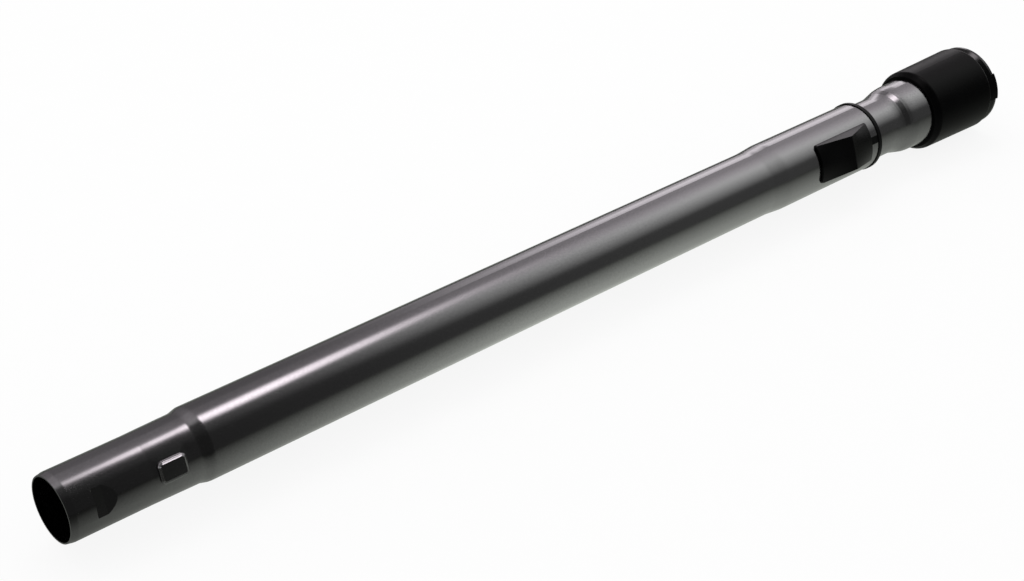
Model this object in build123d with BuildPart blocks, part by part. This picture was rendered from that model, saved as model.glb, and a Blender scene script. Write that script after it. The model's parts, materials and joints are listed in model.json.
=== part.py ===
"""Telescopic vacuum wand, modelled retracted in millimetres.

The wand axis is X: the open tip of the outer tube is at the origin and the handle collar lies along +X.
The latch pocket, key pad, release button, notch row and collar hood share one generator, the key line,
tilted key_angle above the -Y side.
"""
from math import atan2, cos, degrees, hypot, radians, sin, sqrt, tan

from build123d import *
import os

os.makedirs("parts", exist_ok=True)

# Clearances
running_gap = 0.09  # between the sliding tubes and their guides
slide_gap = 0.3  # between moving faces that never touch
side_gap = 0.1  # between a slide and the groove it runs in
seat_gap = 0.05  # between pieces fitted into one another

# Key line's angle above the -Y side
key_angle = radians(19)

# Inner tube's wall and notch row, and the travel that they give
inner_wall = 0.6
inner_radius = 17.5
notch_pitch, notch_count = 21, 19
travel = notch_pitch * (notch_count - 1)

# Outer tube from its tip to the parallel part
outer_wall = 0.7
nose_radius, nose_end = 17.4, 44
lip_radius, lip_length = nose_radius - 0.65, 3.4
spigot_radius, spigot_end = nose_radius + 0.4, 70
outer_radius, step_length = inner_radius + 1.5, 4.6
outer_start = spigot_end + step_length

# Bush and seal on the hidden end of the inner tube
bush_length, bush_lip_length, bush_wall, bush_gap = 10, 2, 0.5, 0.5
bush_start = outer_start + 3.4
bush_end = bush_start + bush_length
inner_start = bush_start + bush_lip_length
bush_lip = inner_radius - inner_wall - bush_wall
bush_radius = outer_radius - outer_wall - running_gap
groove_length, groove_radius = 2.5, inner_radius + 0.35
groove_start = inner_start + 1.5
groove_end = groove_start + groove_length

# Housing at the mouth of the outer tube, with the guide sleeve in it
housing_radius, housing_length, housing_cone = outer_radius + 1, 75.5, 13
sleeve_start = bush_end + bush_gap + travel
housing_start = sleeve_start - 0.5
outer_end = housing_start - housing_cone
mouth_x = housing_start + housing_length
sleeve_bore = inner_radius + running_gap
sleeve_radius = housing_radius - outer_wall - seat_gap
ring_radius, ring_length = housing_radius + 0.6, 3
ring_end = mouth_x + ring_length
rib_width = 4.4

# Flared end of the inner tube
neck_length, flare_length, flare_tail = 19.5, 12, 21
flare_radius = inner_radius + 2.9
inner_end_radius = flare_radius + 0.6
flare_start = ring_end + neck_length
flare_end = flare_start + flare_length
inner_end = flare_end + flare_tail

# Latch pocket and key pad pressed into the spigot
pocket_start, pocket_floor_length, pocket_ramp = 13.4, 5.4, 5.7
pocket_half_angle = radians(24.5)
pad_center, pad_length, pad_width, pad_rise = 54, 15, 11, 1.2
pad_corner, pad_edge = 2.5, 0.9
pocket_floor = nose_radius * cos(pocket_half_angle)
pocket_floor_end = pocket_start + pocket_floor_length
pocket_end = pocket_floor_end + pocket_ramp
pad_base = nose_radius - 3
pad_height = nose_radius + pad_rise

# Lock roller and its axle
roller_setback = 29.5  # from the mouth of the outer tube
roller_x, roller_radius, roller_half = mouth_x - roller_setback, 1.8, 6.0
roller_depth = 1.25  # how far the roller drops below the crown of the inner tube
roller_height = inner_radius - roller_depth + roller_radius
roller_lift = 1.3
roller_slack = 0.15
axle_radius, axle_half = 1.0, 7.9
notch_radius = roller_radius + roller_slack

# Control slide
slide_stroke = 6.0
slide_reach = 12.2
slide_start, slide_end = roller_x - slide_reach, roller_x + slide_reach
slide_half, cheek_thickness = axle_half, 1.5
cheek_half = slide_half - cheek_thickness
cheek_bottom = inner_radius - 0.9
slide_top = housing_radius + 0.8
bridge_thickness = 1.25
opening_start = roller_x - slide_stroke - roller_radius - 0.6
opening_end = roller_x + roller_radius + 0.8
tongue_length, tongue_width, tongue_gap = 2.7, 2.0, 0.3
window_start = slide_start - slide_gap
window_end = slide_end + slide_stroke + slide_gap
window_half = slide_half + 0.5
rib_start = window_end + 1
rib_height = housing_radius - 0.1

# Return spring
spring_radius, spring_wire, spring_coils = 0.85, 0.32, 5
spring_height = sleeve_radius - 0.1
spring_end = slide_end + 9.3

# Release button
button_rear_reach, button_crest_reach, button_front_reach = 20.8, 3.4, 22.8
button_start, button_crest = roller_x - button_rear_reach, roller_x + button_crest_reach
button_end = roller_x + button_front_reach
button_half, button_draft = 11.5, radians(10.5)
button_base = sqrt((housing_radius + slide_gap) ** 2 - button_half**2)
button_rear_rise, button_rear_crown = 1.6, 3.2
button_crest_rise, button_crest_crown = 7.8, 0.3
button_front_rise, button_front_crown = 1.3, 3.0
button_corner, button_ridge = 1.2, 2.0

# Collar with the hood that carries its skin over the liner's flange
collar_length, collar_front_wall, front_cone, rear_cone = 52.4, 3, 3.6, 2.6
collar_start = flare_end + 15
collar_end = collar_start + collar_length
collar_mid, collar_rear = collar_start + collar_length / 2, collar_end - rear_cone
collar_nose_radius = inner_end_radius + 1.4
collar_rear_radius = inner_end_radius + 4.4
collar_mid_radius, collar_front_radius = collar_rear_radius - 0.45, collar_rear_radius - 0.85
rim_radius, neck_radius = collar_rear_radius - 1, collar_rear_radius - 2.3
collar_cavity = neck_radius - 0.7
wall_end = collar_start + collar_front_wall
hood_length, hood_width, hood_rise, hood_edge = 12, 15.6, 0.15, 0.4

# Retaining ring behind the front wall of the collar
clip_thickness, clip_radius, clip_gap = 1.2, collar_cavity - 0.4, 5

# Socket liner and its seal
flange_length, flange_cone, liner_shell = 4.6, 2.6, inner_end_radius
liner_start, liner_end = collar_start - 5, collar_end + flange_length
socket_radius, socket_depth = inner_radius, 47
socket_stop = socket_radius - 0.9
socket_mouth_radius, socket_lead = socket_radius + 0.5, 2
socket_floor = liner_end - socket_depth
socket_land_end = liner_end - socket_lead
seat_length = 4
keyway_length, keyway_width, keyway_height = 22, 11.8, socket_radius + 1.7
seal_start, seal_length, seal_depth, seal_grip = socket_floor + 2.5, 3, 1.4, 0.05
seal_end = seal_start + seal_length
seal_groove = socket_radius + seal_depth
seal_lip = socket_radius - seal_grip

# Key line and the plane that holds it and the wand's axis
key_line = Axis((0, 0, 0), (0, -cos(key_angle), sin(key_angle)))
key_side = Plane(origin=(0, 0, 0), x_dir=(1, 0, 0), z_dir=(0, -sin(key_angle), -cos(key_angle)))


def key_top(x, height):
    """Plane square to the key line, at a place along the wand and a height above the axis."""
    origin = (x, -height * cos(key_angle), height * sin(key_angle))
    return Plane(origin=origin, x_dir=(1, 0, 0), z_dir=(0, -cos(key_angle), sin(key_angle)))


def profile_on(plane, corners):
    """Closed profile on a plane from (x, height, rounding) corners."""
    with BuildSketch(plane) as profile:
        with BuildLine():
            points = [(x, height) for x, height, _ in corners]
            FilletPolyline(*points, radius=[bend for _, _, bend in corners], close=True)
        make_face()
    return profile.sketch


def half_section(*corners):
    """Half section of something turned about the wand's axis."""
    return profile_on(Plane.XZ, corners)


def key_profile(*corners):
    """Profile in the plane of the key line, with heights measured from the axis."""
    return profile_on(key_side, corners)


def key_block(x_range, half_width, bottom, center=0.0, corner=0.0):
    """Rectangle square to the key line, ready to be extruded outward from its bottom height."""
    length = x_range[1] - x_range[0]
    with BuildSketch(key_top(sum(x_range) / 2, bottom)) as outline:
        with Locations((0, center)):
            if corner:
                RectangleRounded(length, 2 * half_width, corner)
            else:
                Rectangle(length, 2 * half_width)
    return outline.sketch


def notch_row(radius):
    """One circle at each notch of the inner tube, seen across the key line."""
    with BuildSketch(key_side) as row:
        for step in range(notch_count):
            with Locations((roller_x - step * notch_pitch, roller_height)):
                Circle(radius)
    return row.sketch


# Outer tube: the space inside the sheet first, then the sheet around it


def outer_form(inset, overrun):
    """Half section of the solid bounded by one face of the outer tube's sheet."""
    return half_section(
        (-overrun, 0, 0),
        (-overrun, lip_radius - inset - overrun * 0.19, 0),
        (lip_length, nose_radius - inset, 4),
        (nose_end, nose_radius - inset, 0),
        (spigot_end, spigot_radius - inset, 8),
        (outer_start, outer_radius - inset, 8),
        (outer_end, outer_radius - inset, 30),
        (housing_start, housing_radius - inset, 30),
        (mouth_x + overrun, housing_radius - inset, 0),
        (mouth_x + overrun, 0, 0),
    )


def pocket_profile(inset):
    """Profile that presses the latch pocket: steep shoulder, flat floor, ramp."""
    clear = nose_radius + 3
    slope = pocket_ramp / (nose_radius - pocket_floor)
    return key_profile(
        (pocket_start - inset, clear, 0),
        (pocket_start - inset, pocket_floor - inset, 0.3),
        (pocket_floor_end, pocket_floor - inset, 1.5),
        (pocket_floor_end + slope * (clear - pocket_floor + inset), clear, 0),
    )


def pad_outline(inset):
    """Outline of the key pad on the spigot."""
    return key_block(
        (pad_center - pad_length / 2 + inset, pad_center + pad_length / 2 - inset),
        pad_width / 2 - inset,
        pad_base,
        corner=pad_corner - inset,
    )


with BuildPart() as outer_cavity:
    revolve(outer_form(outer_wall, overrun=1), axis=Axis.X)
    extrude(pocket_profile(outer_wall), amount=10, both=True, mode=Mode.SUBTRACT)
    extrude(pad_outline(outer_wall), amount=pad_height - outer_wall - pad_base)

with BuildPart() as outer_tube:
    revolve(outer_form(0, overrun=0), axis=Axis.X)
    extrude(pocket_profile(0), amount=10, both=True, mode=Mode.SUBTRACT)
    extrude(pad_outline(0), amount=pad_height - pad_base)
    pad_top = outer_tube.faces().filter_by(GeomType.PLANE).sort_by(key_line)[-1]
    fillet(pad_top.edges(), radius=pad_edge)
    add(outer_cavity.part, mode=Mode.SUBTRACT)
    extrude(key_block((window_start, window_end), window_half, 10), amount=15, mode=Mode.SUBTRACT)
    slot_outline = key_block((window_end - 1, mouth_x + 1), rib_width / 2 + side_gap, 10)
    extrude(slot_outline, amount=15, mode=Mode.SUBTRACT)
outer_tube.part.label = "outer_tube"
export_step(outer_tube.part, "parts/outer_tube.step")


# Inner tube: the same way, with a notch pressed in at every lock position


def inner_form(inset, overrun):
    """Half section of the solid bounded by one face of the inner tube's sheet."""
    return half_section(
        (inner_start - overrun, 0, 0),
        (inner_start - overrun, inner_radius - inset, 0),
        (flare_start, inner_radius - inset, 25),
        (flare_end, flare_radius - inset, 20),
        (inner_end, inner_end_radius - inset, 0),
        (inner_end + overrun, inner_end_radius - inset, 0),
        (inner_end + overrun, 0, 0),
    )


with BuildPart() as inner_cavity:
    revolve(inner_form(inner_wall, overrun=1), axis=Axis.X)
    extrude(notch_row(notch_radius + inner_wall), amount=8, both=True, mode=Mode.SUBTRACT)

with BuildPart() as inner_tube:
    revolve(half_section(
        (inner_start, 0, 0),
        (inner_start, inner_radius, 0),
        (flare_start, inner_radius, 25),
        (flare_end, flare_radius, 20),
        (inner_end, inner_end_radius, 0),
        (inner_end, 0, 0),
    ), axis=Axis.X)
    extrude(notch_row(notch_radius), amount=8, both=True, mode=Mode.SUBTRACT)
    add(inner_cavity.part, mode=Mode.SUBTRACT)
inner_tube.part.label = "inner_tube"
export_step(inner_tube.part, "parts/inner_tube.step")


# Guide sleeve: one moulding with the mouth ring, the slide grooves and the rib that fills the tube's slot

with BuildPart() as guide_sleeve:
    revolve(half_section(
        (sleeve_start, sleeve_bore, 0.4),
        (sleeve_start, sleeve_radius, 0.4),
        (mouth_x, sleeve_radius, 0),
        (mouth_x, ring_radius, 0.3),
        (ring_end, ring_radius, 0.9),
        (ring_end, sleeve_bore, 0.5),
    ), axis=Axis.X)
    rib_outline = key_block((rib_start, mouth_x), rib_width / 2, sleeve_radius - 0.5)
    extrude(rib_outline, amount=rib_height - sleeve_radius + 0.5)
    for side in (-1, 1):
        groove_outline = key_block(
            (window_start, window_end),
            cheek_thickness / 2 + side_gap,
            10,
            center=side * (slide_half - cheek_thickness / 2),
        )
        extrude(groove_outline, amount=15, mode=Mode.SUBTRACT)
    roller_outline = key_block((roller_x - notch_radius, roller_x + notch_radius), cheek_half, 10)
    extrude(roller_outline, amount=15, mode=Mode.SUBTRACT)
    spring_outline = key_block(
        (slide_end - tongue_length - slide_gap, spring_end), tongue_width / 2 + roller_slack, spring_height - 1.05
    )
    extrude(spring_outline, amount=5, mode=Mode.SUBTRACT)
guide_sleeve.part.label = "guide_sleeve"
export_step(guide_sleeve.part, "parts/guide_sleeve.step")


# Control slide: two cheeks joined by bridges, with inclined slots that lift the roller's axle

with BuildPart() as control_slide:
    extrude(key_block((slide_start, slide_end), slide_half, cheek_bottom), amount=slide_top - cheek_bottom)
    extrude(
        key_block((slide_start - 1, slide_end + 1), cheek_half, cheek_bottom - 1),
        amount=slide_top - bridge_thickness - cheek_bottom + 1,
        mode=Mode.SUBTRACT,
    )
    extrude(
        key_block((opening_start, opening_end), cheek_half, cheek_bottom - 1),
        amount=10,
        mode=Mode.SUBTRACT,
    )
    extrude(
        key_block((slide_end - tongue_length, slide_end), tongue_width / 2, spring_height - 0.75),
        amount=slide_top - spring_height + 0.75 - tongue_gap,
    )
    with BuildSketch(key_side):
        with Locations((roller_x - slide_stroke / 2, roller_height + roller_lift / 2)):
            SlotCenterToCenter(
                hypot(slide_stroke, roller_lift),
                2 * (axle_radius + seat_gap),
                rotation=-degrees(atan2(roller_lift, slide_stroke)),
            )
    extrude(amount=slide_half + 1, both=True, mode=Mode.SUBTRACT)
control_slide.part.label = "control_slide"
export_step(control_slide.part, "parts/control_slide.step")


# Lock roller on its axle

with BuildPart() as lock_roller:
    with BuildSketch(key_side):
        with Locations((roller_x, roller_height)):
            Circle(roller_radius)
            Circle(axle_radius + seat_gap, mode=Mode.SUBTRACT)
    extrude(amount=roller_half, both=True)
    chamfer(lock_roller.edges().filter_by(GeomType.CIRCLE).group_by(SortBy.RADIUS)[-1], length=0.3)
lock_roller.part.label = "lock_roller"
export_step(lock_roller.part, "parts/lock_roller.step")

with BuildPart() as roller_axle:
    with BuildSketch(key_side):
        with Locations((roller_x, roller_height)):
            Circle(axle_radius)
    extrude(amount=axle_half, both=True)
    chamfer(roller_axle.edges().filter_by(GeomType.CIRCLE), length=0.2)
roller_axle.part.label = "roller_axle"
export_step(roller_axle.part, "parts/roller_axle.step")


# Return spring between the slide's tongue and the end of its pocket in the sleeve

spring_length = spring_end - slide_end - spring_wire
with BuildPart() as return_spring:
    with BuildLine() as coil:
        Helix(
            pitch=spring_length / spring_coils,
            height=spring_length,
            radius=spring_radius,
            center=key_top(slide_end + spring_wire / 2, spring_height).origin,
            direction=(1, 0, 0),
        )
    with BuildSketch(Plane(origin=coil.line @ 0, z_dir=coil.line % 0)):
        Circle(spring_wire / 2)
    sweep(path=coil.line, is_frenet=True)
return_spring.part.label = "return_spring"
export_step(return_spring.part, "parts/return_spring.step")


# Release button: a thumb ramp between curved ends that follow the housing, hollow over the slide


def button_section(x, rise, crown):
    """Cross section of the button: drafted sides, and a top that is higher in its middle by the crown."""
    corner = button_base + rise
    half = button_half - rise * tan(button_draft)
    across = Plane(origin=(x, 0, 0), x_dir=(0, sin(key_angle), cos(key_angle)), z_dir=(1, 0, 0))
    with BuildSketch(across) as section:
        with BuildLine():
            Polyline((-half, corner), (-button_half, button_base), (button_half, button_base), (half, corner))
            ThreePointArc((half, corner), (0, corner + crown), (-half, corner))
        make_face()
    return section.sketch


def at_rear_corner(edge):
    """True for the two upright edges at the rear end of the button."""
    return abs(edge.center().X - button_start) < 0.01 and abs(edge.center().dot(key_side.z_dir)) > 1


def on_crest(edge):
    """True for the ridge across the button."""
    return abs(edge.center().X - button_crest) < 0.01 and abs(edge.center().dot(key_side.z_dir)) < 1


with BuildPart() as release_button:
    crest_section = button_section(button_crest, button_crest_rise, button_crest_crown)
    loft([button_section(button_start, button_rear_rise, button_rear_crown), crest_section], ruled=True)
    loft([crest_section, button_section(button_end, button_front_rise, button_front_crown)], ruled=True)
    fillet(release_button.edges().filter_by(at_rear_corner), radius=button_corner)
    ridge = release_button.edges().filter_by(on_crest).sort_by(key_line)[-1:]
    fillet(ridge, radius=button_ridge)
    revolve(half_section(
        (button_start - 1, 0, 0),
        (button_start - 1, housing_radius + slide_gap, 0),
        (button_end + 1, housing_radius + slide_gap, 0),
        (button_end + 1, 0, 0),
    ), axis=Axis.X, mode=Mode.SUBTRACT)
    extrude(
        key_block((slide_start - side_gap, slide_end + side_gap), slide_half + side_gap, 15),
        amount=slide_top - 15,
        mode=Mode.SUBTRACT,
    )
    extrude(
        key_block((opening_start, opening_end), cheek_half, 15),
        amount=roller_height + roller_lift + roller_radius + 0.2 - 15,
        mode=Mode.SUBTRACT,
    )
release_button.part.label = "release_button"
export_step(release_button.part, "parts/release_button.step")


# Guide bush in two half shells on the hidden end of the inner tube, with the lip seal in its groove

bush_section = half_section(
    (bush_start, bush_lip, 0.3),
    (bush_start, bush_radius, 0.5),
    (groove_start, bush_radius, 0),
    (groove_start, groove_radius, 0),
    (groove_end, groove_radius, 0),
    (groove_end, bush_radius, 0),
    (bush_end, bush_radius, 0.2),
    (bush_end, inner_radius, 0),
    (inner_start, inner_radius, 0),
    (inner_start, bush_lip, 0),
)
for half_name, kept in (("end_bush_upper", Keep.TOP), ("end_bush_lower", Keep.BOTTOM)):
    with BuildPart() as end_bush:
        revolve(bush_section, axis=Axis.X)
        split(bisect_by=Plane.XY, keep=kept)
    end_bush.part.label = half_name
    export_step(end_bush.part, f"parts/{half_name}.step")

with BuildPart() as lip_seal:
    revolve(half_section(
        (groove_start, groove_radius, 0),
        (groove_start, bush_radius - 0.05, 0.15),
        (groove_start + 0.9, bush_radius + 0.03, 0.1),
        (groove_end, groove_radius + 0.1, 0),
        (groove_end, groove_radius, 0),
    ), axis=Axis.X)
lip_seal.part.label = "lip_seal"
export_step(lip_seal.part, "parts/lip_seal.step")


# Collar: a hollow shell closed around the flared tube, with a hood over the keyway


def flare_radius_at(x):
    """Outer radius of the flared end of the inner tube."""
    return flare_radius + (inner_end_radius - flare_radius) * (x - flare_end) / (inner_end - flare_end)


with BuildPart() as hood:
    revolve(half_section(
        (liner_end - hood_length, rim_radius + side_gap, 0),
        (liner_end - hood_length, collar_mid_radius, 0),
        (liner_end, collar_rear_radius + hood_rise, hood_edge),
        (liner_end, rim_radius + side_gap, 0),
    ), axis=Axis.X)
    extrude(
        key_block((liner_end - hood_length - 1, liner_end + 1), hood_width / 2, collar_cavity - 3),
        amount=10,
        mode=Mode.INTERSECT,
    )

with BuildPart() as collar:
    revolve(half_section(
        (collar_start, flare_radius_at(collar_start) + 0.01, 0),
        (collar_start, collar_nose_radius, 0.6),
        (collar_start + front_cone, collar_front_radius, 3),
        (collar_mid, collar_mid_radius, 0),
        (collar_rear, collar_rear_radius, 2),
        (collar_end, neck_radius, 0),
        (collar_end, collar_cavity, 0),
        (wall_end, collar_cavity, 0.3),
        (wall_end, flare_radius_at(wall_end) + 0.01, 0),
    ), axis=Axis.X)
    add(hood.part)
collar.part.label = "collar"
export_step(collar.part, "parts/collar.step")

with BuildPart() as retaining_ring:
    clip_end = wall_end + clip_thickness
    revolve(half_section(
        (wall_end, flare_radius_at(clip_end) + 0.02, 0),
        (wall_end, clip_radius, 0),
        (clip_end, clip_radius, 0),
        (clip_end, flare_radius_at(clip_end) + 0.02, 0),
    ), axis=Axis.X)
    with BuildSketch(Plane.XY.offset(-clip_radius)):
        with Locations((wall_end, 0)):
            Rectangle(6 * clip_thickness, clip_gap)
    extrude(amount=4, both=True, mode=Mode.SUBTRACT)
retaining_ring.part.label = "retaining_ring"
export_step(retaining_ring.part, "parts/retaining_ring.step")


# Socket liner: plugged into the flared tube, seated in the collar by two rings, flanged at the rim

with BuildPart() as socket_liner:
    revolve(half_section(
        (liner_start, socket_stop, 0.3),
        (liner_start, flare_radius_at(liner_start) - inner_wall - seat_gap, 0.5),
        (inner_end, flare_radius_at(inner_end) - inner_wall - seat_gap, 0),
        (inner_end, collar_cavity, 0.3),
        (inner_end + seat_length, collar_cavity, 0.3),
        (inner_end + seat_length, liner_shell, 0),
        (collar_end - 2 * seat_length, liner_shell, 0),
        (collar_end - 2 * seat_length, collar_cavity, 0.3),
        (collar_end, collar_cavity, 0),
        (collar_end, neck_radius, 0),
        (collar_end + flange_cone, rim_radius, 0.3),
        (liner_end, rim_radius, 0.5),
        (liner_end, socket_mouth_radius, 0.3),
        (socket_land_end, socket_radius, 0),
        (seal_end, socket_radius, 0),
        (seal_end, seal_groove, 0),
        (seal_start, seal_groove, 0),
        (seal_start, socket_radius, 0),
        (socket_floor, socket_radius, 0),
        (socket_floor, socket_stop, 0.3),
    ), axis=Axis.X)
    extrude(
        key_block((liner_end - keyway_length, liner_end + 1), keyway_width / 2, 10),
        amount=keyway_height - 10,
        mode=Mode.SUBTRACT,
    )
socket_liner.part.label = "socket_liner"
export_step(socket_liner.part, "parts/socket_liner.step")

with BuildPart() as socket_seal:
    revolve(half_section(
        (seal_start, seal_groove, 0),
        (seal_start, seal_groove - seal_depth / 2, 0.2),
        ((seal_start + seal_end) / 2, seal_lip, 0.4),
        (seal_end, seal_groove - seal_depth / 2, 0.2),
        (seal_end, seal_groove, 0),
    ), axis=Axis.X)
socket_seal.part.label = "socket_seal"
export_step(socket_seal.part, "parts/socket_seal.step")
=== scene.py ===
import json
import math

import bpy
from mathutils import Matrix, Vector

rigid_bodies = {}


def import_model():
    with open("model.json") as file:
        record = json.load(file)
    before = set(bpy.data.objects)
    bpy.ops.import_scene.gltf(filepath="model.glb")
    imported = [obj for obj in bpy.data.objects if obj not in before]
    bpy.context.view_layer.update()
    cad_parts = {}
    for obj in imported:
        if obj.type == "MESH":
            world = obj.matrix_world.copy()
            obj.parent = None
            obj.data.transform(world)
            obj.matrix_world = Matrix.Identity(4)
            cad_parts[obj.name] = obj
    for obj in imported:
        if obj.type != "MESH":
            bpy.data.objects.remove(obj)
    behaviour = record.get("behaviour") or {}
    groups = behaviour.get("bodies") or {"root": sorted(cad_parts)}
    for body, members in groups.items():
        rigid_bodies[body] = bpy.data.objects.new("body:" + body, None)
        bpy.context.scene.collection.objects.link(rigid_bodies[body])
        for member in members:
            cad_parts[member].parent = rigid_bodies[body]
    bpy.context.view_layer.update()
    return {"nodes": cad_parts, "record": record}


for leftover in list(bpy.data.objects):
    bpy.data.objects.remove(leftover)
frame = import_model()
nodes = frame["nodes"]

# Sizes in metres, as in the part
REST_HEIGHT = 0.02575  # axis above the floor, which lies just clear of the collar
KEY_ANGLE = math.radians(19)
PAD_CENTER, PAD_LENGTH, PAD_WIDTH, PAD_CORNER = 0.054, 0.015, 0.011, 0.0025
# Finer forms of the pressed steel, as (place, height) curves: in from the pad's outline, and along the flare
PAD_SHOULDER = [(0.00025, -0.00094), (0.0006, -0.00082), (0.0009, -0.00056), (0.00138, 0.0)]
FLARE_FLANK = [(0.5685, 0.0), (0.5722, 0.0004)]

# Patterns on the metal, with their scales in repeats per metre; the drawing lines run along the tube
STEEL_CLOUD_SCALE, STEEL_CLOUD_STRETCH = 9.0, (0.4, 1, 1)
DRAW_LINE_SCALE, DRAW_LINE_STRETCH = 900.0, (0.02, 1, 1)
CLOUD_SHARE, SPECKLE_SHARE = 0.55, 0.45  # their parts in the metal's tone
STEEL_TONE_STOPS = (0.38, 0.62)
STEEL_GLOSS_SPAN = (0.9, 1.1)
STEEL_GRAIN_STRENGTH = 0.35

# Patterns on the mouldings
MOULD_CLOUD_SCALE = 60.0
MOULD_BRIGHTER = 1.6
MOULD_TONE_STOPS = (0.35, 0.75)
MOULD_GLOSS_SPAN = (0.8, 1.25)
MOULD_GRAIN_STRENGTH = 0.3


# Shader parts


def new_material(name):
    """A node material with its tree emptied, and an output ready to link."""
    material = bpy.data.materials.new(name)
    material.use_nodes = True
    tree = material.node_tree
    tree.nodes.clear()
    output = tree.nodes.new("ShaderNodeOutputMaterial")
    return material, tree, output


def object_axes(tree):
    """X, Y and Z of the shaded point in object space."""
    coordinates = tree.nodes.new("ShaderNodeTexCoord")
    place = tree.nodes.new("ShaderNodeSeparateXYZ")
    tree.links.new(coordinates.outputs["Object"], place.inputs[0])
    return place.outputs["X"], place.outputs["Y"], place.outputs["Z"]


def add_noise(tree, scale, detail=2.0, stretch=(1, 1, 1)):
    """Noise in object space, stretched along the axes."""
    coordinates = tree.nodes.new("ShaderNodeTexCoord")
    mapping = tree.nodes.new("ShaderNodeMapping")
    mapping.inputs["Scale"].default_value = stretch
    noise = tree.nodes.new("ShaderNodeTexNoise")
    noise.inputs["Scale"].default_value = scale
    noise.inputs["Detail"].default_value = detail
    tree.links.new(coordinates.outputs["Object"], mapping.inputs["Vector"])
    tree.links.new(mapping.outputs["Vector"], noise.inputs["Vector"])
    return noise.outputs["Fac"]


def add_range(tree, value, low, high, source=(0.0, 1.0), smooth=False):
    """Maps a value from its source range to low..high."""
    remap = tree.nodes.new("ShaderNodeMapRange")
    remap.interpolation_type = "SMOOTHSTEP" if smooth else "LINEAR"
    remap.inputs["From Min"].default_value = source[0]
    remap.inputs["From Max"].default_value = source[1]
    remap.inputs["To Min"].default_value = low
    remap.inputs["To Max"].default_value = high
    tree.links.new(value, remap.inputs["Value"])
    return remap.outputs["Result"]


def add_ramp(tree, value, stops):
    """Colour ramp over a value, from (position, colour) stops."""
    ramp = tree.nodes.new("ShaderNodeValToRGB")
    elements = ramp.color_ramp.elements
    while len(elements) < len(stops):
        elements.new(0.5)
    for element, (position, colour) in zip(elements, stops):
        element.position = position
        element.color = (*colour, 1)
    tree.links.new(value, ramp.inputs["Fac"])
    return ramp.outputs["Color"]


def add_bump(tree, height, strength, distance):
    """Bump from a height value."""
    bump = tree.nodes.new("ShaderNodeBump")
    bump.inputs["Strength"].default_value = strength
    bump.inputs["Distance"].default_value = distance
    tree.links.new(height, bump.inputs["Height"])
    return bump.outputs["Normal"]


def add_math(tree, operation, *values):
    """Math node over one or two values or sockets."""
    node = tree.nodes.new("ShaderNodeMath")
    node.operation = operation
    for socket, value in zip(node.inputs, values):
        if isinstance(value, (int, float)):
            socket.default_value = value
        else:
            tree.links.new(value, socket)
    return node.outputs[0]


def add_fade(tree, value, stops):
    """Level along a value, from (value, level) stops in rising order."""
    low, high = stops[0][0], stops[-1][0]
    peak = max(level for place, level in stops)
    share = add_range(tree, value, 0.0, 1.0, source=(low, high))
    greys = [((place - low) / (high - low), (level / peak,) * 3) for place, level in stops]
    return add_math(tree, "MULTIPLY", add_ramp(tree, share, greys), peak)


def add_glow(tree, colour, strength):
    """Emission of a colour, given as a tuple or a socket, and a strength."""
    glow = tree.nodes.new("ShaderNodeEmission")
    if isinstance(colour, tuple):
        glow.inputs["Color"].default_value = (*colour, 1)
    else:
        tree.links.new(colour, glow.inputs["Color"])
    tree.links.new(strength, glow.inputs["Strength"])
    return glow.outputs["Emission"]


# Materials of the wand


def pad_shoulder(tree):
    """Height of the key pad's pressed shoulder, falling towards its outline, in metres."""
    x, y, z = object_axes(tree)
    y_part = add_math(tree, "MULTIPLY", y, math.sin(KEY_ANGLE))
    z_part = add_math(tree, "MULTIPLY", z, math.cos(KEY_ANGLE))
    along = add_math(tree, "SUBTRACT", x, PAD_CENTER)
    across = add_math(tree, "ADD", y_part, z_part)
    squares = []
    for offset, half_size in ((along, PAD_LENGTH / 2), (across, PAD_WIDTH / 2)):
        past_corner = add_math(tree, "SUBTRACT", add_math(tree, "ABSOLUTE", offset), half_size - PAD_CORNER)
        squares.append(add_math(tree, "POWER", add_math(tree, "MAXIMUM", past_corner, 0.0), 2.0))
    from_corner = add_math(tree, "SQRT", add_math(tree, "ADD", *squares))
    depth_in = add_math(tree, "SUBTRACT", PAD_CORNER, from_corner)
    lowest = PAD_SHOULDER[0][1]
    lift = add_fade(tree, depth_in, [(depth, height - lowest) for depth, height in PAD_SHOULDER])
    on_pad_side = add_math(tree, "LESS_THAN", y, 0.0)
    return add_math(tree, "MULTIPLY", lift, on_pad_side)


def flare_flank(tree):
    """Height of the steeper middle of the inner tube's flare, in metres."""
    return add_fade(tree, object_axes(tree)[0], FLARE_FLANK)


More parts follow.
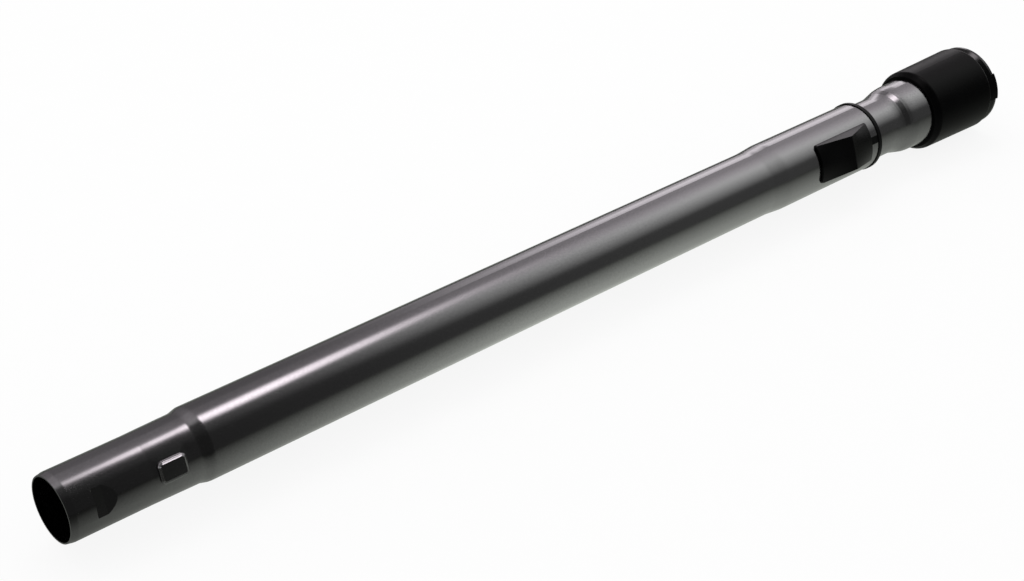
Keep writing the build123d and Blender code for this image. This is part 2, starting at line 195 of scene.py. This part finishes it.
def steel(name, dark, light, roughness, grain, grain_depth, relief=None):
    """Metal with a fine frosted grain, faint drawing lines along the tube and slight tone variation."""
    material, tree, output = new_material(name)
    shader = tree.nodes.new("ShaderNodeBsdfPrincipled")
    shader.inputs["Metallic"].default_value = 1.0
    cloud = add_noise(tree, STEEL_CLOUD_SCALE, stretch=STEEL_CLOUD_STRETCH)
    speckle = add_noise(tree, grain, detail=1.0)
    draw_lines = add_noise(tree, DRAW_LINE_SCALE, detail=1.0, stretch=DRAW_LINE_STRETCH)
    cloud_part = add_math(tree, "MULTIPLY", cloud, CLOUD_SHARE)
    speckle_part = add_math(tree, "MULTIPLY", speckle, SPECKLE_SHARE)
    tone = add_math(tree, "ADD", cloud_part, speckle_part)
    colour = add_ramp(tree, tone, list(zip(STEEL_TONE_STOPS, (dark, light))))
    tree.links.new(colour, shader.inputs["Base Color"])
    glossiest, dullest = (roughness * factor for factor in STEEL_GLOSS_SPAN)
    tree.links.new(add_range(tree, draw_lines, glossiest, dullest), shader.inputs["Roughness"])
    surface = add_bump(tree, speckle, STEEL_GRAIN_STRENGTH, grain_depth)
    if relief:
        tree.links.new(add_bump(tree, relief(tree), 1.0, 1.0), surface.node.inputs["Normal"])
    tree.links.new(surface, shader.inputs["Normal"])
    tree.links.new(shader.outputs["BSDF"], output.inputs["Surface"])
    return material


def moulding(name, colour, roughness, grain, grain_depth, specular):
    """Black moulded material with a fine surface texture and uneven gloss."""
    material, tree, output = new_material(name)
    shader = tree.nodes.new("ShaderNodeBsdfPrincipled")
    shader.inputs["Specular IOR Level"].default_value = specular
    brighter = tuple(channel * MOULD_BRIGHTER for channel in colour)
    cloud = add_noise(tree, MOULD_CLOUD_SCALE, detail=3.0)
    texture = add_noise(tree, grain)
    tone = add_ramp(tree, cloud, list(zip(MOULD_TONE_STOPS, (colour, brighter))))
    tree.links.new(tone, shader.inputs["Base Color"])
    glossiest, dullest = (roughness * factor for factor in MOULD_GLOSS_SPAN)
    tree.links.new(add_range(tree, cloud, glossiest, dullest), shader.inputs["Roughness"])
    tree.links.new(add_bump(tree, texture, MOULD_GRAIN_STRENGTH, grain_depth), shader.inputs["Normal"])
    tree.links.new(shader.outputs["BSDF"], output.inputs["Surface"])
    return material


TUBE_FINISH = {
    "dark": (0.25, 0.245, 0.252),
    "light": (0.3, 0.295, 0.302),
    "roughness": 0.18,
    "grain": 1300.0,
    "grain_depth": 0.000012,
}
materials = {
    "tube_steel": steel("tube_steel", **TUBE_FINISH, relief=flare_flank),
    "spigot_steel": steel("spigot_steel", **TUBE_FINISH, relief=pad_shoulder),
    "bright_steel": steel("bright_steel", (0.5, 0.5, 0.5), (0.6, 0.6, 0.6), 0.3, 2000.0, 0.00003),
    "gloss_black": moulding("gloss_black", (0.001, 0.001, 0.0011), 0.24, 900.0, 0.00001, specular=0.13),
    "collar_black": moulding("collar_black", (0.0007, 0.0007, 0.0008), 0.33, 700.0, 0.00002, specular=0.07),
    "black_moulding": moulding(
        "black_moulding", (0.0016, 0.0016, 0.0018), 0.35, 1500.0, 0.00002, specular=0.15
    ),
    "liner_black": moulding("liner_black", (0.0014, 0.0014, 0.0016), 0.16, 900.0, 0.00001, specular=0.5),
    "seal_rubber": moulding("seal_rubber", (0.012, 0.012, 0.012), 0.6, 1800.0, 0.00004, specular=0.3),
}

own_material = {"outer_tube": "spigot_steel", "collar": "collar_black", "socket_liner": "liner_black"}
for subpart in frame["record"]["subparts"]:
    mesh = nodes[subpart["node"]].data
    mesh.materials.clear()
    mesh.materials.append(materials[own_material.get(subpart["node"], subpart["material_slot"])])


# Stage: pale floor, light tent, world light, softbox and camera

FLOOR_HALF = 8.0
PAPER_TONES = ((0.86, 0.86, 0.86), (0.88, 0.88, 0.88))
PAPER_STOPS = (0.3, 0.7)
PAPER_FIBRE_SCALE = 40.0
PAPER_GLOW = 0.88  # how far the floor is lifted to white where the camera sees it; the rest keeps the shadow
# The floor's glow in reflections is painted shade: full beside the wand, falling with the distance from it,
# and dimmer towards the tip and the far end along it
REFLECTED_SHADE_START, REFLECTED_SHADE_REACH, REFLECTED_SHADE_FAR = 0.03, 0.06, 0.12
REFLECTED_SHADE_ALONG = [(-0.05, 0.1), (0.26, 0.8), (0.32, 0.8), (0.6, 0.4)]
REFLECTED_SHADE_LEAN = 0.6  # how far that curve along the wand shifts with the distance towards the camera side
# tint of the floor's painted reflection
PAINTED_REFLECTION_TINT = (0.95, 1.0, 0.915)

TENT_RADIUS, TENT_ENDS, TENT_STEPS = 1.3, (-2.5, 4.5), 48
TENT_OVERHANG = 0.05  # radians below the axis at both sides
TENT_HIDDEN_FROM = (
    "visible_camera", "visible_diffuse", "visible_transmission", "visible_volume_scatter", "visible_shadow"
)
# The tent's glow in a reflection, as (place, level) curves: around the wand from the camera side over the top
# (radians) and along it (metres)
CLOTH_AROUND = [(0.5, 0.0), (1.35, 1.05), (1.5, 1.05), (2.1, 0.5), (2.6, 0.5), (3.1, 0.85)]
CLOTH_ALONG = [(0.6, 0.08), (1.2, 0.8), (1.6, 1.0)]
CLOTH_SHIFT = [(0.8, 0.35), (1.25, 0.05)]
LOW_ALONG = [(0.5, 0.03), (1.3, 0.11)]
BACK_AROUND = [(1.5, 0.0), (1.7, 0.43), (2.8, 0.2)]
BACK_ALONG = [(0.1, 1.6), (0.7, 1.0)]
TENT_TINTS = [(1.35, (0.985, 1.0, 0.98)), (1.9, (1.0, 0.945, 0.985))]
# Its two bright panels, at the top and low at the back; middles and half widths are in radians
PANEL_EDGE = (0.3, 1.6)  # where a panel's glow starts to fall and where it ends, in half widths
TOP_MIDDLE = [(0.75, 1.69), (1.05, 1.8)]
TOP_HALF_WIDTH = [(0.55, 0.11), (0.68, 0.21), (1.1, 0.14)]
TOP_ALONG = [(0.44, 0.0), (0.62, 4.3), (0.78, 4.1), (1.0, 0.5), (1.2, 0.0)]
TOP_TINT = (1.0, 0.92, 0.96)
RIM_MIDDLE, RIM_HALF_WIDTH = 2.73, 0.14
RIM_ALONG = [(1.0, 0.0), (1.35, 1.2)]

WORLD_LIGHT, WORLD_SEEN = 0.9, 1.0
KEY_PLACE, KEY_AIM = (0.5, 0.45, 1.1), (0.32, 0, 0)
KEY_SIZE, KEY_POWER = (0.9, 0.5), 3.0

# Where the photograph's perspective puts the camera
CAMERA_PLACE = (-0.3110, -0.6654, 0.5549)
CAMERA_HEADING = math.radians(48.77)
CAMERA_TILT = math.radians(-31.95)
FOCAL_PIXELS, IMAGE_WIDTH, SENSOR_MM = 2008.5, 1024, 36.0
CLIP_END = 50


def link_mesh(name, corners, faces, material):
    """A mesh object of the stage, linked to the scene."""
    mesh = bpy.data.meshes.new(name)
    mesh.from_pydata(corners, [], faces)
    mesh.materials.append(material)
    sheet = bpy.data.objects.new(name, mesh)
    bpy.context.scene.collection.objects.link(sheet)
    return sheet


def floor_material():
    """Pale floor that reads white and keeps a soft shadow; where it is reflected it glows with painted shade,
    darker away from the wand and towards its tip and far end.
    """
    material, tree, output = new_material("floor_paper")
    paper = tree.nodes.new("ShaderNodeBsdfDiffuse")
    fibres = add_noise(tree, PAPER_FIBRE_SCALE, detail=3.0)
    tree.links.new(add_ramp(tree, fibres, list(zip(PAPER_STOPS, PAPER_TONES))), paper.inputs["Color"])
    x, y = object_axes(tree)[:2]
    # painted shade of the floor in reflections: falls with the distance from the wand, and along it towards
    # the tip and far end
    past_near = add_math(tree, "SUBTRACT", add_math(tree, "ABSOLUTE", y), REFLECTED_SHADE_START)
    beyond = add_math(tree, "MAXIMUM", past_near, 0.0)
    spread = add_math(tree, "ADD", add_math(tree, "DIVIDE", beyond, REFLECTED_SHADE_REACH), 1.0)
    across = add_math(tree, "ADD", add_math(tree, "DIVIDE", 1 - REFLECTED_SHADE_FAR, spread), REFLECTED_SHADE_FAR)
    along = add_fade(tree, add_math(tree, "ADD", x, add_math(tree, "MULTIPLY", y, REFLECTED_SHADE_LEAN)), REFLECTED_SHADE_ALONG)
    painted_reflection_shade = add_math(tree, "MULTIPLY", across, along)
    path = tree.nodes.new("ShaderNodeLightPath")
    direct = add_math(tree, "MAXIMUM", path.outputs["Is Camera Ray"], path.outputs["Is Transmission Ray"])
    tint = add_ramp(tree, direct, [(0.0, PAINTED_REFLECTION_TINT), (1.0, (1, 1, 1))])
    glow = add_glow(tree, tint, add_math(tree, "MAXIMUM", direct, painted_reflection_shade))
    lifted = add_math(tree, "MULTIPLY", direct, PAPER_GLOW)
    mix = tree.nodes.new("ShaderNodeMixShader")
    tree.links.new(add_math(tree, "MAXIMUM", lifted, path.outputs["Is Glossy Ray"]), mix.inputs["Fac"])
    tree.links.new(paper.outputs["BSDF"], mix.inputs[1])
    tree.links.new(glow, mix.inputs[2])
    tree.links.new(mix.outputs["Shader"], output.inputs["Surface"])
    return material


def build_floor():
    """Square floor under the wand."""
    signs = ((-1, -1), (1, -1), (1, 1), (-1, 1))
    corners = [(x * FLOOR_HALF, y * FLOOR_HALF, -REST_HEIGHT) for x, y in signs]
    sheet = link_mesh("floor", corners, [(0, 1, 2, 3)], floor_material())


def add_panel(tree, angle, middle, half_width, level):
    """Glow of one soft-edged panel of the tent."""
    off_middle = add_math(tree, "ABSOLUTE", add_math(tree, "SUBTRACT", angle, middle))
    distance = add_math(tree, "DIVIDE", off_middle, half_width)
    share = add_range(tree, distance, 1.0, 0.0, source=PANEL_EDGE, smooth=True)
    return add_math(tree, "MULTIPLY", share, level)


def cloth_level(tree, angle, along):
    """Glow of the cloth, rising from the camera side to the top, with its own level at the back."""
    shifted = add_math(tree, "SUBTRACT", angle, add_fade(tree, along, CLOTH_SHIFT))
    around = add_fade(tree, shifted, CLOTH_AROUND)
    rise = add_math(tree, "MULTIPLY", around, add_fade(tree, along, CLOTH_ALONG))
    front = add_math(tree, "ADD", rise, add_fade(tree, along, LOW_ALONG))
    back = add_math(tree, "MULTIPLY", add_fade(tree, angle, BACK_AROUND), add_fade(tree, along, BACK_ALONG))
    return add_math(tree, "MAXIMUM", front, back)


def tent_material():
    """Glow of the tent, darker towards the camera and towards the tip of the wand, with two bright panels."""
    material, tree, output = new_material("tent_cloth")
    along, y, z = object_axes(tree)
    angle = add_math(tree, "ARCTAN2", z, add_math(tree, "MULTIPLY", y, -1.0))
    rim = add_panel(tree, angle, RIM_MIDDLE, RIM_HALF_WIDTH, add_fade(tree, along, RIM_ALONG))
    cloth = add_math(tree, "ADD", cloth_level(tree, angle, along), rim)
    (first, first_tint), (last, last_tint) = TENT_TINTS
    around = add_range(tree, angle, 0.0, 1.0, source=(first, last))
    tint = add_ramp(tree, around, [(0.0, first_tint), (1.0, last_tint)])
    top_middle, top_half_width = add_fade(tree, along, TOP_MIDDLE), add_fade(tree, along, TOP_HALF_WIDTH)
    top = add_panel(tree, angle, top_middle, top_half_width, add_fade(tree, along, TOP_ALONG))
    both = tree.nodes.new("ShaderNodeAddShader")
    tree.links.new(add_glow(tree, tint, cloth), both.inputs[0])
    tree.links.new(add_glow(tree, TOP_TINT, top), both.inputs[1])
    tree.links.new(both.outputs["Shader"], output.inputs["Surface"])
    return material


def build_tent():
    """Half-round tent over the wand, met only by reflections."""
    sweep = math.pi + 2 * TENT_OVERHANG
    angles = [sweep * step / TENT_STEPS - TENT_OVERHANG for step in range(TENT_STEPS + 1)]
    rim = [(-TENT_RADIUS * math.cos(angle), TENT_RADIUS * math.sin(angle)) for angle in angles]
    vertices = [(x, y, z) for x in TENT_ENDS for y, z in rim]
    row = TENT_STEPS + 1
    faces = [(step, step + 1, row + step + 1, row + step) for step in range(TENT_STEPS)]
    tent = link_mesh("tent", vertices, faces, tent_material())
    for ray in TENT_HIDDEN_FROM:
        setattr(tent, ray, False)


def build_world():
    """Even pale light around the stage, white where camera, glossy and transmission rays meet it."""
    world = bpy.data.worlds.new("studio")
    world.use_nodes = True
    tree = world.node_tree
    tree.nodes.clear()
    output = tree.nodes.new("ShaderNodeOutputWorld")
    light = tree.nodes.new("ShaderNodeBackground")
    light.inputs["Color"].default_value = (1, 1, 1, 1)
    path = tree.nodes.new("ShaderNodeLightPath")
    seen = add_math(tree, "MAXIMUM", path.outputs["Is Camera Ray"], path.outputs["Is Glossy Ray"])
    seen = add_math(tree, "MAXIMUM", seen, path.outputs["Is Transmission Ray"])
    tree.links.new(add_range(tree, seen, WORLD_LIGHT, WORLD_SEEN), light.inputs["Strength"])
    tree.links.new(light.outputs["Background"], output.inputs["Surface"])
    bpy.context.scene.world = world


def build_key_softbox():
    """Rectangular area lamp over the wand; in reflections the tent's panels stand for it."""
    lamp = bpy.data.lights.new("key_softbox", "AREA")
    lamp.shape = "RECTANGLE"
    lamp.size, lamp.size_y = KEY_SIZE
    lamp.energy = KEY_POWER
    box = bpy.data.objects.new("key_softbox", lamp)
    box.location = KEY_PLACE
    box.rotation_euler = (Vector(KEY_AIM) - Vector(KEY_PLACE)).to_track_quat("-Z", "Y").to_euler()
    box.visible_glossy = False
    bpy.context.scene.collection.objects.link(box)


def build_camera():
    """The camera, which looks along its heading and down by its tilt."""
    camera_data = bpy.data.cameras.new("camera")
    camera_data.sensor_width = SENSOR_MM
    camera_data.lens = FOCAL_PIXELS / IMAGE_WIDTH * SENSOR_MM
    camera_data.clip_end = CLIP_END
    camera = bpy.data.objects.new("camera", camera_data)
    camera.location = CAMERA_PLACE
    camera.rotation_euler = (math.pi / 2 + CAMERA_TILT, 0, CAMERA_HEADING - math.pi / 2)
    bpy.context.scene.collection.objects.link(camera)
    bpy.context.scene.camera = camera


build_floor()
build_tent()
build_world()
build_key_softbox()
build_camera()
bpy.context.scene.view_settings.view_transform = "Standard"
